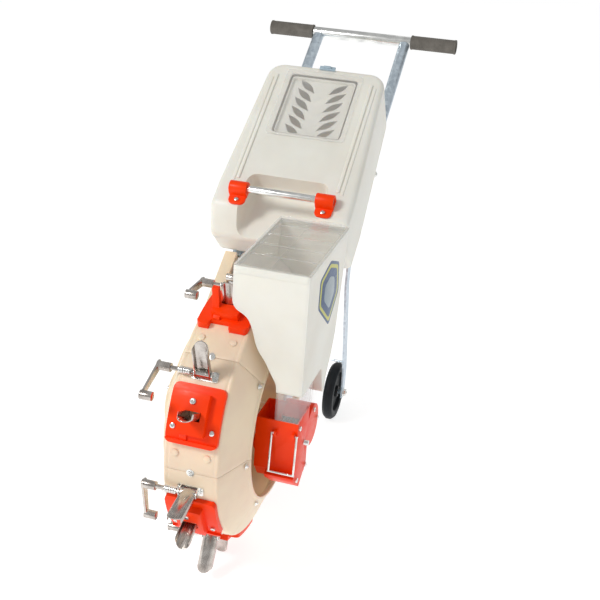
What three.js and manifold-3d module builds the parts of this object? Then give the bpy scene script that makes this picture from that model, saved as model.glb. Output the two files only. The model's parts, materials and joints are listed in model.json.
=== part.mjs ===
// Push seeder: a spiked planting drum, a seed hopper with its metering unit,
// a fertilizer box on two sloping tubes, and two press wheels behind.
// Millimetres, +Z up, +Y towards the person pushing, +X to the right.
import * as THREE from 'three';
import { mergeVertices } from 'three/addons/utils/BufferGeometryUtils.js';
import Module from 'manifold-3d';

const wasm = await Module();
wasm.setup();

// ---- driving dimensions -------------------------------------------------
const CLEAR = 0.3;                // gap between pieces that touch
const RUN = 1.0;                  // gap between pieces that move past each other

const MOUTHS = 7;                 // planting mouths round the drum
const MOUTH_PHASE = 25.5;         // first mouth's angle above the forward level, degrees
const TREAD_R = 230;              // drum tread radius
const TREAD_HALF = 48;            // drum tread half width
const RIM_R = 150;                // side opening radius
const RIM_X = 80;                 // side opening's distance from the middle
const DRUM_WALL = 4.5;

const BEAK_TIP_R = TREAD_R + 67;   // fixed beak's tip radius
const JAW_TIP_R = TREAD_R + 80.8;  // moving jaw's tip radius
const JAW_OFFSET = 17;            // jaw hinge angle ahead of its mouth, degrees
const HINGE_R = TREAD_R + 11;      // jaw hinge radius
const OPEN_TILT = 30;             // how far the first mouth's jaw stands open
const BEAK_WIDTH = 28;
const BEAK_DEPTH = 15;
const STEEL = 2;                  // sheet thickness of the beaks
const PLATE_T = 9;                // mouth housing plate thickness
const PLATE_SPAN = 25;            // mouth housing's angle, degrees
const THROAT = 7;                 // half angle of the opening under a mouth, degrees

const AXLE_R = 10;
const AXLE_LEFT = -117;
const AXLE_RIGHT = 109;
const HUB_R = 24;

const POST_X = 105;               // frame tube centre line
const POST_R = 12.5;
const BAR_Y = 817;                // crossbar behind the axle
const BAR_Z = 579;                // crossbar above the axle
const BAR_R = 12.5;
const GRIP_R = 16.5;
const GRIP_LENGTH = 104;
const GRIP_GAP = 1.5;              // grip's inner end from the posts
const BAR_HALF = POST_X + POST_R + GRIP_GAP + GRIP_LENGTH;
const PLATE_W = 44;               // side plate width
const SIDE_T = 5;                 // side plate thickness
const POST_START = 332;           // tube's lower end, measured from the axle
const PLATE_END = 430;            // side plate's upper end, measured from the axle
const BRACE_S = 372;              // cross tube's place along the posts
const BRACE_R = 11;

const BOX_SLOPE = 35.7;           // fertilizer box's top, degrees
const BOX_FRONT_Y = 200;
const BOX_FRONT_Z = 331;          // above the axle
const BOX_LENGTH = 388;
const BOX_DEPTH = 140;
const BOX_HALF = 142;
const BOX_HALF_BACK = 126;
const BOX_WALL = 3;
const BOX_CORNER = 34;
const WIN_START = 186;            // window, measured up the slope
const WIN_LENGTH = 184;
const WIN_HALF = 83;
const POCKET_HALF = 84;           // hand pocket
const POCKET_LENGTH = 84;
const POCKET_DEPTH = 52;

const CARRY_R = 7.5;
const CARRY_S = 34;               // carrying bar up the slope
const CARRY_RISE = 13;
const BRACKET_W = 36;
const BRACKET_X = 88;

const HOP_X0 = 20;
const HOP_X1 = 153;
const HOP_Y0 = -105;
const HOP_Y1 = 155;
const HOP_TOP = 338;              // above the axle
const HOP_LOW = 109;              // hopper's outlet above the axle
const HOP_WALL = 3;
const HOP_LOW_X = 106;            // its inner side at the outlet

const CHAMBER_X0 = 96;
const UNIT_X0 = 72;               // the metering case reaches into the drum's opening
const UNIT_STEP = -30;            // behind this it stays outside the side plate
const UNIT_X1 = 150;
const UNIT_Y0 = -103;
const UNIT_Y1 = 40;
const UNIT_TOP = 56;
const UNIT_LOW = -75;
const UNIT_WALL = 3;

const METER_R = 24;
const GEAR_MODULE = 2.6;
const GEAR_TEETH = 24;
const PINION_TEETH = 16;
const GEAR_WIDTH = 9;
const METER_ANGLE = 190;          // direction from the axle to the metering shaft

const COVER_X = -97;              // fertilizer feed case, inner face
const COVER_W = 25;
const COVER_R = 60;
const DUCT_LOW = -20;             // duct's two sides, off the line of the posts
const DUCT_HIGH = 31;
const DUCT_END = 326;
const ROTOR_R = 50;

const PRESS_R = 70;
const PRESS_W = 24;
const PRESS_X = 68;
const PRESS_Y = 532;
const ARM_W = 26;
const ARM_T = 5;
const ARM_TOP_S = 600;            // arm's pivot along the posts

// ---- worked out from them ----------------------------------------------
const rad = THREE.MathUtils.degToRad;
const POST_ANGLE = Math.atan2(BAR_Z, BAR_Y);
const POST_LENGTH = Math.hypot(BAR_Y, BAR_Z);
const PITCH = 360 / MOUTHS;

// ---- colours ------------------------------------------------------------
const finish = (color, roughness, metalness = 0) =>
  new THREE.MeshStandardMaterial({ color, roughness, metalness });
const IVORY = finish('#ece6d6', 0.45);
const ORANGE = finish('#ff3d05', 0.35);
const STAINLESS = finish('#c9c6c1', 0.25, 1);
const ZINC = finish('#8ea0ad', 0.4, 1);
const BRIGHT = finish('#d8d8d2', 0.2, 1);
const GRIP = finish('#4b4642', 0.75);
const BLACK = finish('#16181a', 0.6);
const CLEAR_PLASTIC = finish('#e8e6e0', 0.1);
const BLUE_GREY = finish('#8fa6b4', 0.5);

// ---- solids -------------------------------------------------------------
const group = new THREE.Group();

function solid(geometry) {
  const bare = geometry.index ? geometry.toNonIndexed() : geometry.clone();
  bare.deleteAttribute('normal');
  bare.deleteAttribute('uv');
  const merged = mergeVertices(bare, 1e-4);
  return new wasm.Manifold(new wasm.Mesh({
    numProp: 3,
    vertProperties: new Float32Array(merged.attributes.position.array),
    triVerts: new Uint32Array(merged.index.array),
  }));
}

function geometryOf(manifold) {
  const mesh = manifold.getMesh();
  const geometry = new THREE.BufferGeometry();
  geometry.setAttribute('position', new THREE.BufferAttribute(mesh.vertProperties, 3));
  geometry.setIndex(new THREE.BufferAttribute(mesh.triVerts, 1));
  geometry.computeVertexNormals();
  return geometry;
}

function add(name, piece, material, turn = 0, place = [0, 0, 0]) {
  const mesh = new THREE.Mesh(geometryOf(piece), material);
  mesh.name = name;
  mesh.rotation.x = turn;
  mesh.position.set(...place);
  group.add(mesh);
  return mesh;
}

const join = (...parts) => parts.reduce((whole, part) => whole.add(part));
const cut = (body, ...parts) => parts.reduce((whole, part) => whole.subtract(part), body);

function box(x0, x1, y0, y1, z0, z1) {
  const geometry = new THREE.BoxGeometry(x1 - x0, y1 - y0, z1 - z0);
  geometry.translate((x0 + x1) / 2, (y0 + y1) / 2, (z0 + z1) / 2);
  return solid(geometry);
}

// a round bar between two points
function bar(from, to, radius, sides = 24) {
  const a = new THREE.Vector3(...from);
  const b = new THREE.Vector3(...to);
  const along = b.clone().sub(a);
  const geometry = new THREE.CylinderGeometry(radius, radius, along.length(), sides);
  const up = new THREE.Vector3(0, 1, 0);
  geometry.applyQuaternion(new THREE.Quaternion().setFromUnitVectors(up, along.normalize()));
  geometry.translate(...a.add(b).multiplyScalar(0.5).toArray());
  return solid(geometry);
}

// a tube, open at both ends, between two points
const tube = (from, to, outer, inner, sides = 24) => {
  const a = new THREE.Vector3(...from);
  const b = new THREE.Vector3(...to);
  const over = b.clone().sub(a).normalize();
  const bore = bar(a.clone().sub(over).toArray(), b.clone().add(over).toArray(), inner, sides);
  return cut(bar(from, to, outer, sides), bore);
};

// an outline of [y, z] points, drawn out along X
function sideways(points, x0, x1, holes = []) {
  const shape = Array.isArray(points)
    ? new THREE.Shape(points.map(([y, z]) => new THREE.Vector2(y, z)))
    : points;
  shape.holes.push(...holes);
  const geometry = new THREE.ExtrudeGeometry(shape, {
    depth: x1 - x0, bevelEnabled: false, curveSegments: 10,
  });
  geometry.rotateY(Math.PI / 2);
  geometry.rotateX(Math.PI / 2);
  geometry.translate(x0, 0, 0);
  return solid(geometry);
}

// an outline of [x, z] points, drawn out along Y
function lengthways(points, y0, y1) {
  const shape = new THREE.Shape(points.map(([x, z]) => new THREE.Vector2(x, z)));
  const geometry = new THREE.ExtrudeGeometry(shape, { depth: y1 - y0, bevelEnabled: false });
  geometry.rotateX(Math.PI / 2);
  geometry.translate(0, y1, 0);
  return solid(geometry);
}

// an outline of [x, y] points, drawn up along Z
function upwards(shape, z0, z1) {
  const geometry = new THREE.ExtrudeGeometry(shape, {
    depth: z1 - z0, bevelEnabled: false, curveSegments: 5,
  });
  geometry.translate(0, 0, z0);
  return solid(geometry);
}

// a closed [radius, x] outline turned about the axle
function turned(outline, sides = 28) {
  const points = outline.map(([r, x]) => new THREE.Vector2(r, x));
  if (THREE.ShapeUtils.area(points) < 0) points.reverse();
  points.push(points[0].clone());
  const geometry = new THREE.LatheGeometry(points, sides);
  geometry.rotateZ(-Math.PI / 2);
  return solid(geometry);
}

const disc = (radius, x0, x1, sides = 32, y = 0, z = 0) =>
  bar([x0, y, z], [x1, y, z], radius, sides);

// a wedge about the axle: everything within `half` degrees of straight up
function wedge(half, reach, x0, x1) {
  const side = reach * Math.tan(rad(half));
  return sideways([[0, 0], [side, reach], [-side, reach]], x0, x1);
}

// points of an arc about the axle, angles from straight up towards +Y
function arc(radius, from, to, steps) {
  return Array.from({ length: steps + 1 }, (_, i) => {
    const angle = rad(from + (to - from) * i / steps);
    return [radius * Math.sin(angle), radius * Math.cos(angle)];
  });
}

function roundedRect(x0, x1, y0, y1, radius) {
  const shape = new THREE.Shape();
  shape.moveTo(x0 + radius, y0);
  shape.lineTo(x1 - radius, y0);
  shape.absarc(x1 - radius, y0 + radius, radius, -Math.PI / 2, 0);
  shape.lineTo(x1, y1 - radius);
  shape.absarc(x1 - radius, y1 - radius, radius, 0, Math.PI / 2);
  shape.lineTo(x0 + radius, y1);
  shape.absarc(x0 + radius, y1 - radius, radius, Math.PI / 2, Math.PI);
  shape.lineTo(x0, y0 + radius);
  shape.absarc(x0 + radius, y0 + radius, radius, Math.PI, Math.PI * 1.5);
  return shape;
}

// a point on the line of the posts: s along it, n off it, upwards positive
function onPost(x, s, n = 0) {
  const c = Math.cos(POST_ANGLE);
  const d = Math.sin(POST_ANGLE);
  return [x, s * c - n * d, s * d + n * c];
}

const yz = ([, y, z]) => [y, z];

// ---- planting drum ------------------------------------------------------
// Each mouth's pieces are drawn at the top of the drum and turned into place.
const mouthTurn = (index) => rad(90 - MOUTH_PHASE - PITCH * index);
const mouthName = (name, index) => `${name}_${index + 1}`;

function drumSegment() {
  const inner = TREAD_R - DRUM_WALL;
  const rim = RIM_X - DRUM_WALL;
  const ring = turned([
    [RIM_R, -RIM_X], [TREAD_R, -TREAD_HALF], [TREAD_R, TREAD_HALF], [RIM_R, RIM_X],
    [RIM_R, rim], [inner, TREAD_HALF - 2], [inner, 2 - TREAD_HALF], [RIM_R, -rim],
  ], 70);
  const reach = 2 * TREAD_R;
  const seam = THREE.MathUtils.radToDeg(CLEAR / 2 / TREAD_R);
  const slice = wedge(PITCH / 2 - seam, reach, -RIM_X - 5, RIM_X + 5);
  const half = TREAD_R * Math.sin(rad(THROAT));
  const throat = box(-22, 22, -half, half, RIM_R, TREAD_R + 5);
  return cut(ring.intersect(slice), throat);
}

function mouthHousing(notched) {
  const low = TREAD_R + CLEAR;
  const high = low + PLATE_T;
  const half = PLATE_SPAN / 2;
  const sector = (r0, r1, a0, a1) => [...arc(r1, a0, a1, 8), ...arc(r0, a1, a0, 8)];
  const edge = TREAD_HALF - 1;
  const plate = sideways(sector(low, high, -half, half), -edge, edge);
  const boss = sideways(sector(high - 1, high + 13, -7.5, 9), -24, 24);
  const lip = sideways(sector(high - 1, high + 4, -half, -half + 2), -edge, edge);
  const slot = box(
    -BEAK_WIDTH / 2 - CLEAR, BEAK_WIDTH / 2 + CLEAR,
    -BEAK_DEPTH / 2 - CLEAR, BEAK_DEPTH / 2 + CLEAR, RIM_R, TREAD_R + 60,
  );
  const ramp = sideways(
    [[-BEAK_DEPTH, high + 12], [-44, high - 2], [-BEAK_DEPTH, high - 2]], -20, -8,
  );
  const webs = [join(plate, boss), ramp];
  if (notched) {
    const y = BEAK_DEPTH / 2 + 1;
    webs.push(sideways([
      [-y - 15, high - 1], [-y - 9, high + 28], [-y - 9, high + 50], [-y, high + 50],
      [-y, high - 1],
    ], -26, -14));
  }
  let body = cut(join(...webs, lip), slot);
  if (notched) {
    body = body.subtract(box(-24, 14, -70, -low * Math.sin(rad(half)) + 13, low - 9, high + 9));
  }
  return body;
}

// a channel standing out from the drum, its open side towards +Y
function channel(root, tip) {
  const half = BEAK_WIDTH / 2;
  const depth = BEAK_DEPTH / 2;
  const skin = new THREE.Shape();
  skin.moveTo(-half, depth);
  skin.lineTo(-half, 0);
  skin.absellipse(0, 0, half, depth, Math.PI, 2 * Math.PI, false);
  skin.lineTo(half, depth);
  skin.lineTo(half - STEEL, depth);
  skin.lineTo(half - STEEL, 0);
  skin.absellipse(0, 0, half - STEEL, depth - STEEL, 2 * Math.PI, Math.PI, true);
  skin.lineTo(STEEL - half, depth);
  const blade = upwards(skin, root, tip);
  const nose = [
    ...Array.from({ length: 9 }, (_, i) => {
      const angle = Math.PI * i / 8;
      return [half * Math.cos(angle), tip - half + half * Math.sin(angle)];
    }),
    [-half, root - 1], [half, root - 1],
  ];
  return blade.intersect(lengthways(nose, -BEAK_DEPTH, BEAK_DEPTH));
}

// the moving jaw, its shaft and crank, drawn about its own hinge at the origin
function jawAssembly() {
  const blade = channel(-4, JAW_TIP_R - HINGE_R);
  const flipped = new wasm.Manifold(blade.getMesh()).mirror([0, 1, 0]);
  const arm = HINGE_R * 2 * Math.sin(rad(JAW_OFFSET / 2));
  const outer = -84.5;
  const inner = -59;
  const shaft = bar([outer + 2, 0, 0], [16, 0, 0], 4, 10);
  const saddle = bar([-13, 0, 0], [13, 0, 0], 6.5, 10);
  const roller = bar([outer, 0, 0], [inner, 0, 0], 8, 14);
  const trip = bar([outer, -arm, 0], [inner - 4, -arm, 0], 8, 14);
  const crank = sideways([[6, 8], [-arm - 6, 5], [-arm - 6, -5], [6, -8]], outer + 1, outer + 5);
  return join(flipped, shaft, saddle, roller, trip, crank);
}

function addMouths() {
  const segment = drumSegment();
  const beak = channel(TREAD_R - 2, BEAK_TIP_R);
  const jaw = jawAssembly();
  const housings = [mouthHousing(false), mouthHousing(true)];
  for (let i = 0; i < MOUTHS; i += 1) {
    const turn = mouthTurn(i);
    const ahead = turn - rad(JAW_OFFSET);
    const hinge = [0, -HINGE_R * Math.sin(ahead), HINGE_R * Math.cos(ahead)];
    const tilt = i === 0 ? rad(OPEN_TILT) : 0;
    add(mouthName('drum_segment', i), segment, IVORY, turn);
    add(mouthName('mouth_housing', i), housings[i === 1 ? 1 : 0], ORANGE, turn);
    add(mouthName('beak', i), beak, STAINLESS, turn);
    add(mouthName('jaw', i), jaw, STAINLESS, ahead - tilt, hinge);
  }
}

// the closed left side of the drum, with the hub that grips the axle
function drumHub() {
  const outer = RIM_R - CLEAR;
  const dish = turned([
    [AXLE_R + CLEAR, -70], [outer, -70], [outer, -66], [HUB_R, -66],
    [HUB_R, 34], [AXLE_R + CLEAR, 34],
  ], 40);
  const openings = Array.from({ length: 6 }, (_, i) => {
    const angle = rad(60 * i);
    return disc(24, -75, -60, 14, 92 * Math.cos(angle), 92 * Math.sin(angle));
  });
  return cut(dish, ...openings);
}

function gearBlank(teeth, width, bore) {
  const pitchR = GEAR_MODULE * teeth / 2;
  const root = pitchR - GEAR_MODULE * 1.25;
  const tip = pitchR + GEAR_MODULE * 0.8;
  const step = 2 * Math.PI / teeth;
  const points = [];
  for (let i = 0; i < teeth; i += 1) {
    for (const [r, share] of [[root, -0.3], [tip, -0.11], [tip, 0.11], [root, 0.3]]) {
      points.push([r * Math.cos((i + share) * step), r * Math.sin((i + share) * step)]);
    }
  }
  return cut(sideways(points, 0, width), disc(bore, -1, width + 1, 24));
}

function addAxle() {
  add('drum_hub', drumHub(), IVORY);
  add('axle', bar([AXLE_LEFT, 0, 0], [AXLE_RIGHT, 0, 0], AXLE_R, 32), BRIGHT);
}

const METER_DISTANCE = GEAR_MODULE * (GEAR_TEETH + PINION_TEETH) / 2 + 0.2;
const METER_Y = METER_DISTANCE * Math.cos(rad(METER_ANGLE));
const METER_Z = METER_DISTANCE * Math.sin(rad(METER_ANGLE));
const GEAR_X = CHAMBER_X0 + UNIT_WALL + RUN;

function addMetering() {
  const gear = gearBlank(GEAR_TEETH, GEAR_WIDTH, AXLE_R + CLEAR);
  add('drive_gear', gear, BLACK, rad(METER_ANGLE), [GEAR_X, 0, 0]);
  const mesh = rad(METER_ANGLE + 180 + 180 / PINION_TEETH);
  const drumX0 = GEAR_X + GEAR_WIDTH + RUN;
  const drumX1 = UNIT_X1 - UNIT_WALL - RUN;
  const cells = Array.from({ length: 6 }, (_, i) => {
    const angle = rad(60 * i + 30);
    return disc(6, drumX0 + 6, drumX1 - 6, 12, METER_R * Math.cos(angle), METER_R * Math.sin(angle));
  });
  const wheel = cut(disc(METER_R, drumX0, drumX1, 32), disc(5 + CLEAR, 0, 200, 24), ...cells);
  add('meter_wheel', wheel, ORANGE, 0, [0, METER_Y, METER_Z]);
  const pinion = gearBlank(PINION_TEETH, GEAR_WIDTH, 4).translate([GEAR_X, 0, 0]);
  const shaft = join(bar([CHAMBER_X0 + 1, 0, 0], [UNIT_X1 + 8, 0, 0], 5, 24), pinion);
  add('meter_shaft', shaft, BRIGHT, mesh, [0, METER_Y, METER_Z]);
}

const BAIL_Z = 34;
const LUG_X0 = 108;
const LUG_X1 = 141;

// the orange case of the metering unit, which reaches into the drum's opening
function meteringCase() {
  const w = UNIT_WALL;
  const front = [
    [UNIT_Y0, UNIT_TOP], [UNIT_Y0, UNIT_LOW + 30], [UNIT_Y0 + 22, UNIT_LOW],
    [UNIT_STEP - 12, UNIT_LOW], [UNIT_STEP, UNIT_LOW + 14], [UNIT_STEP, UNIT_TOP],
  ];
  const frontHollow = [
    [UNIT_Y0 + w, UNIT_TOP + 5], [UNIT_Y0 + w, UNIT_LOW + 31], [UNIT_Y0 + 24, UNIT_LOW + w],
    [UNIT_STEP - 13, UNIT_LOW + w], [UNIT_STEP - w, UNIT_LOW + 15], [UNIT_STEP - w, UNIT_TOP + 5],
  ];
  const rear = disc(UNIT_Y1, CHAMBER_X0, UNIT_X1, 32);
  const rearHollow = disc(UNIT_Y1 - w, CHAMBER_X0 + w, UNIT_X1 - w, 32);
  const bridge = box(CHAMBER_X0 + w, UNIT_X1 - w, UNIT_STEP - 10, 0, -UNIT_Y1 + 14, UNIT_Y1 - 14);
  const foot = sideways([
    [UNIT_Y0 - 14, UNIT_LOW + 26], [UNIT_Y0 - 8, UNIT_LOW + 16], [UNIT_Y0 + 30, UNIT_LOW - 16],
    [UNIT_STEP - 16, UNIT_LOW + 1], [UNIT_Y0 + 2, UNIT_LOW + 30],
  ], CHAMBER_X0, UNIT_X1);
  const lug = (x) => box(x, x + 5, UNIT_Y0 - 9, UNIT_Y0 + 1, BAIL_Z - 5, BAIL_Z + 5);
  const boss = disc(19, UNIT_X0 - 4, UNIT_X0 + 5, 24, UNIT_Y0 + 22, -2);
  const bossBore = disc(8, UNIT_X0 - 10, UNIT_X0 + 10, 20, UNIT_Y0 + 22, -2);
  const hubBore = disc(AXLE_R + RUN, CHAMBER_X0 - 1, CHAMBER_X0 + w + 1, 32);
  const shaftBore = disc(5 + RUN / 2, UNIT_X0 - 1, UNIT_X1 + 1, 24, METER_Y, METER_Z);
  const pinBore = disc(2.6, UNIT_X0, UNIT_X1 + 9, 12, UNIT_Y0 - 5, BAIL_Z);
  const chute = box(UNIT_X0 - 1, UNIT_X0 + w + 1, UNIT_Y0 + 34, UNIT_STEP - 14, UNIT_LOW + 8, -40);
  const shell = join(
    sideways(front, UNIT_X0, UNIT_X1), rear, boss, foot, lug(LUG_X0), lug(LUG_X1),
  );
  return cut(
    shell, sideways(frontHollow, UNIT_X0 + w, UNIT_X1 - w), rearHollow, bridge, bossBore,
    hubBore, shaftBore, pinBore, chute,
  );
}

function addMeteringCase() {
  add('metering_case', meteringCase(), ORANGE);
  const top = UNIT_TOP + CLEAR;
  const x0 = HOP_LOW_X;
  const clearBox = box(x0, UNIT_X1, UNIT_Y0, -14, top, HOP_LOW - CLEAR);
  const inner = box(x0 + 3, UNIT_X1 - 3, UNIT_Y0 + 3, -17, top - 5, HOP_LOW + 5);
  add('seed_chamber', cut(clearBox, inner), CLEAR_PLASTIC);
}

// the wire bail over the case's front, drawn about its own pins
function addBail() {
  const x0 = LUG_X0 - 4;
  const x1 = LUG_X1 + 9;
  const low = UNIT_LOW + 34 - BAIL_Z;
  const wire = (a, b) => bar(a, b, 2, 10);
  const bail = join(
    wire([x0 - 2, 0, 0], [LUG_X0 + 4.5, 0, 0]),
    wire([LUG_X1 + 0.5, 0, 0], [x1 + 2, 0, 0]),
    wire([x0, -1, 2], [x0, -9, low]),
    wire([x1, -1, 2], [x1, -9, low]),
    wire([x0 - 2, -9, low], [x1 + 2, -9, low]),
  );
  add('case_bail', bail, BRIGHT, 0, [0, UNIT_Y0 - 5, BAIL_Z]);
}

// ---- frame and handle ---------------------------------------------------
const SIDE_X = POST_X - POST_R - CLEAR;        // side plate's outer face

function sidePlate() {
  const half = PLATE_W / 2;
  const nose = Array.from({ length: 11 }, (_, i) => {
    const angle = POST_ANGLE + rad(90 + 18 * i);
    return [(half + 2) * Math.cos(angle), (half + 2) * Math.sin(angle)];
  });
  const outline = [
    yz(onPost(0, PLATE_END, -12)), yz(onPost(0, PLATE_END, 12)),
    yz(onPost(0, POST_START + 20, 12)), yz(onPost(0, POST_START - 40, half)), ...nose,
    yz(onPost(0, POST_START - 40, -half)), yz(onPost(0, POST_START + 20, -12)),
  ];
  const plate = sideways(outline.reverse(), SIDE_X - SIDE_T, SIDE_X);
  const bearing = disc(19, SIDE_X - SIDE_T - 2, SIDE_X, 32);
  const bore = disc(AXLE_R + 0.6, 0, 200, 32);
  return cut(join(plate, bearing), bore);
}

function addFrame() {
  const plate = sidePlate();
  for (const [side, sign] of [['left', -1], ['right', 1]]) {
    const x = sign * POST_X;
    const flipped = sign < 0 ? plate.mirror([1, 0, 0]) : plate;
    add(`side_plate_${side}`, flipped, ZINC);
    const end = POST_LENGTH - BAR_R - CLEAR;
    const post = tube(onPost(x, POST_START), onPost(x, end), POST_R, POST_R - 2);
    const crossbar = bar([-BAR_HALF, BAR_Y, BAR_Z], [BAR_HALF, BAR_Y, BAR_Z], BAR_R + CLEAR);
    add(`post_${side}`, post.subtract(crossbar), ZINC);
    const grip = tube(
      [sign * (BAR_HALF + 3), BAR_Y, BAR_Z], [sign * (BAR_HALF - GRIP_LENGTH), BAR_Y, BAR_Z],
      GRIP_R, BAR_R + CLEAR,
    );
    const cap = bar([sign * (BAR_HALF + CLEAR), BAR_Y, BAR_Z],
      [sign * (BAR_HALF + 3), BAR_Y, BAR_Z], GRIP_R - 1);
    add(`grip_${side}`, join(grip, cap), GRIP);
  }
  add('crossbar', tube([-BAR_HALF, BAR_Y, BAR_Z], [BAR_HALF, BAR_Y, BAR_Z], BAR_R, BAR_R - 2), BRIGHT);
  const inner = SIDE_X - SIDE_T - CLEAR;
  const brace = tube(onPost(-inner, BRACE_S), onPost(inner, BRACE_S), BRACE_R, BRACE_R - 2);
  add('frame_brace', brace, ZINC);
}

// ---- fertilizer box -----------------------------------------------------
// Drawn lying flat: x across, y up the slope, z off its top face.
const BOX_TURN = rad(BOX_SLOPE);
const BOX_PLACE = [0, BOX_FRONT_Y, BOX_FRONT_Z];
const addOnBox = (name, piece, material) => add(name, piece, material, BOX_TURN, BOX_PLACE);

// the box's outline seen square on to its top, `inset` inside the real one
function boxPlan(inset) {
  const front = BOX_HALF - inset;
  const back = BOX_HALF_BACK - inset;
  const end = BOX_LENGTH - inset;
  const r = BOX_CORNER - inset;
  const shape = new THREE.Shape();
  shape.moveTo(-front, -260);
  shape.lineTo(front, -260);
  shape.lineTo(front, 60);
  shape.lineTo(back + 2, end - r);
  shape.absarc(back - r, end - r, r, 0, Math.PI / 2);
  shape.absarc(r - back, end - r, r, Math.PI / 2, Math.PI);
  shape.lineTo(-back - 2, end - r);
  shape.lineTo(-front, 60);
  return shape;
}

// the box's side view, [y, z] in its own flat frame, `inset` inside the real one
function boxSide(inset) {
  const c = Math.cos(BOX_TURN);
  const d = Math.sin(BOX_TURN);
  const flat = (y, z) => [y * c + z * d, z * c - y * d];
  const drop = flat(inset, -68 - inset * 0.4);
  const under = flat(62 + inset * 0.3, -122 + inset);
  return [
    [inset * 1.5, -inset], drop, under,
    [BOX_LENGTH + 12 - inset, -BOX_DEPTH + inset], [BOX_LENGTH + 12 - inset, -24],
    [BOX_LENGTH - inset, -inset],
  ].reverse();
}

function boxBody(inset) {
  const plan = upwards(boxPlan(inset), -300, 60);
  return plan.intersect(sideways(boxSide(inset), -BOX_HALF, BOX_HALF));
}

function pocketCut(grow) {
  const half = POCKET_HALF + grow;
  return lengthways([
    [-half + 12, -POCKET_DEPTH - grow], [half - 12, -POCKET_DEPTH - grow],
    [half, 20], [-half, 20],
  ], -200, POCKET_LENGTH + grow);
}

function fertilizerBox() {
  const shell = cut(boxBody(0), pocketCut(0));
  const hollow = cut(boxBody(BOX_WALL), pocketCut(BOX_WALL));
  const inset = 10;
  const opening = upwards(
    roundedRect(inset - WIN_HALF, WIN_HALF - inset,
      WIN_START + inset, WIN_START + WIN_LENGTH - inset, 8), -20, 20,
  );
  const outlet = box(COVER_X - 18, COVER_X - 7, 26, 40, -150, -80);
  const ridge = (side) => box(side * 103 - 4, side * 103 + 4, 70, BOX_LENGTH - 40, -1, 3);
  return cut(join(cut(shell, hollow), ridge(1), ridge(-1)), opening, outlet);
}

function windowLid() {
  const plate = upwards(
    roundedRect(-WIN_HALF, WIN_HALF, WIN_START + 3, WIN_START + WIN_LENGTH, 8), CLEAR, CLEAR + 2.5,
  );
  const knuckle = (x) => bar([x, WIN_START + 3, 2.8], [x + 26, WIN_START + 3, 2.8], 2.4, 12);
  const tab = box(-18, 18, WIN_START + WIN_LENGTH - 1, WIN_START + WIN_LENGTH + 6, 1, 2.8);
  return join(plate, knuckle(-60), knuckle(34), tab);
}

// the sieve under the window: a tray with two rows of leaf-shaped slots
function strainer() {
  const half = WIN_HALF - 14;
  const y0 = WIN_START + 14;
  const y1 = WIN_START + WIN_LENGTH - 14;
  const across = 7;
  const margin = 24;
  const leaves = [];
  for (const row of [0, 1]) {
    for (let i = 0; i < across; i += 1) {
      const x = -half + margin + i * 2 * (half - margin) / (across - 1);
      const y = y0 + 42 + row * 76;
      const lean = row ? 14 : -14;
      const leaf = new THREE.Shape();
      leaf.moveTo(x - lean, y - 30);
      leaf.quadraticCurveTo(x + 8, y, x + lean, y + 30);
      leaf.quadraticCurveTo(x - 8, y, x - lean, y - 30);
      leaves.push(upwards(leaf, -40, -30));
    }
  }
  const floor = cut(upwards(roundedRect(-half, half, y0, y1, 6), -34, -32), ...leaves);
  const rim = cut(
    upwards(roundedRect(-half, half, y0, y1, 6), -34, -BOX_WALL - CLEAR),
    upwards(roundedRect(2 - half, half - 2, y0 + 2, y1 - 2, 5), -40, 10),
  );
  return join(floor, rim);
}

function boxLatch() {
  const y = WIN_START + WIN_LENGTH + 6 + RUN;
  const plate = box(-17, 17, y, y + 9, CLEAR, 5);
  const nub = box(-8, 8, y + 2, y + 7, 4, 9);
  return join(plate, nub);
}

function carryBracket(side) {
  const x0 = side * BRACKET_X - BRACKET_W / 2;
  const x1 = x0 + BRACKET_W;
  const hump = disc(CARRY_R + 6, x0, x1, 24, CARRY_S, CARRY_RISE);
  const foot = box(x0, x1, CARRY_S - CARRY_R - 6, CARRY_S + CARRY_R + 6, CLEAR, CARRY_RISE);
  const tab = upwards(roundedRect(x0 + 1, x1 - 1, 2, CARRY_S, 10), CLEAR, 5);
  const bore = disc(CARRY_R + CLEAR, -300, 300, 24, CARRY_S, CARRY_RISE);
  const under = box(x0 - 1, x1 + 1, -20, 90, -20, CLEAR);
  return cut(join(hump, foot, tab), bore, under);
}

function addFertilizerBox() {
  addOnBox('fertilizer_box', fertilizerBox(), IVORY);
  addOnBox('window_lid', windowLid(), CLEAR_PLASTIC);
  addOnBox('strainer', strainer(), IVORY);
  addOnBox('box_latch', boxLatch(), BLUE_GREY);
  addOnBox('bar_bracket_left', carryBracket(-1), ORANGE);
  addOnBox('bar_bracket_right', carryBracket(1), ORANGE);
  const reach = BRACKET_X + BRACKET_W / 2 - 2;
  const carry = bar([-reach, CARRY_S, CARRY_RISE], [reach, CARRY_S, CARRY_RISE], CARRY_R, 24);
  addOnBox('carrying_bar', carry, BRIGHT);
}

// ---- fertilizer feed ----------------------------------------------------
function feedOutline(inset) {
  const r = COVER_R - inset;
  const low = DUCT_LOW + inset;
  const high = DUCT_HIGH - inset;
  const a0 = Math.asin(low / r) + POST_ANGLE;
  const a1 = Math.asin(high / r) + POST_ANGLE;
  const steps = 28;
  const round = Array.from({ length: steps + 1 }, (_, i) => {
    const angle = a1 + (2 * Math.PI + a0 - a1) * i / steps;
    return [r * Math.cos(angle), r * Math.sin(angle)];
  });
  const end = DUCT_END + (inset ? 20 : 0);
  return [...round, yz(onPost(0, end, low)), yz(onPost(0, end, high))];
}

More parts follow.
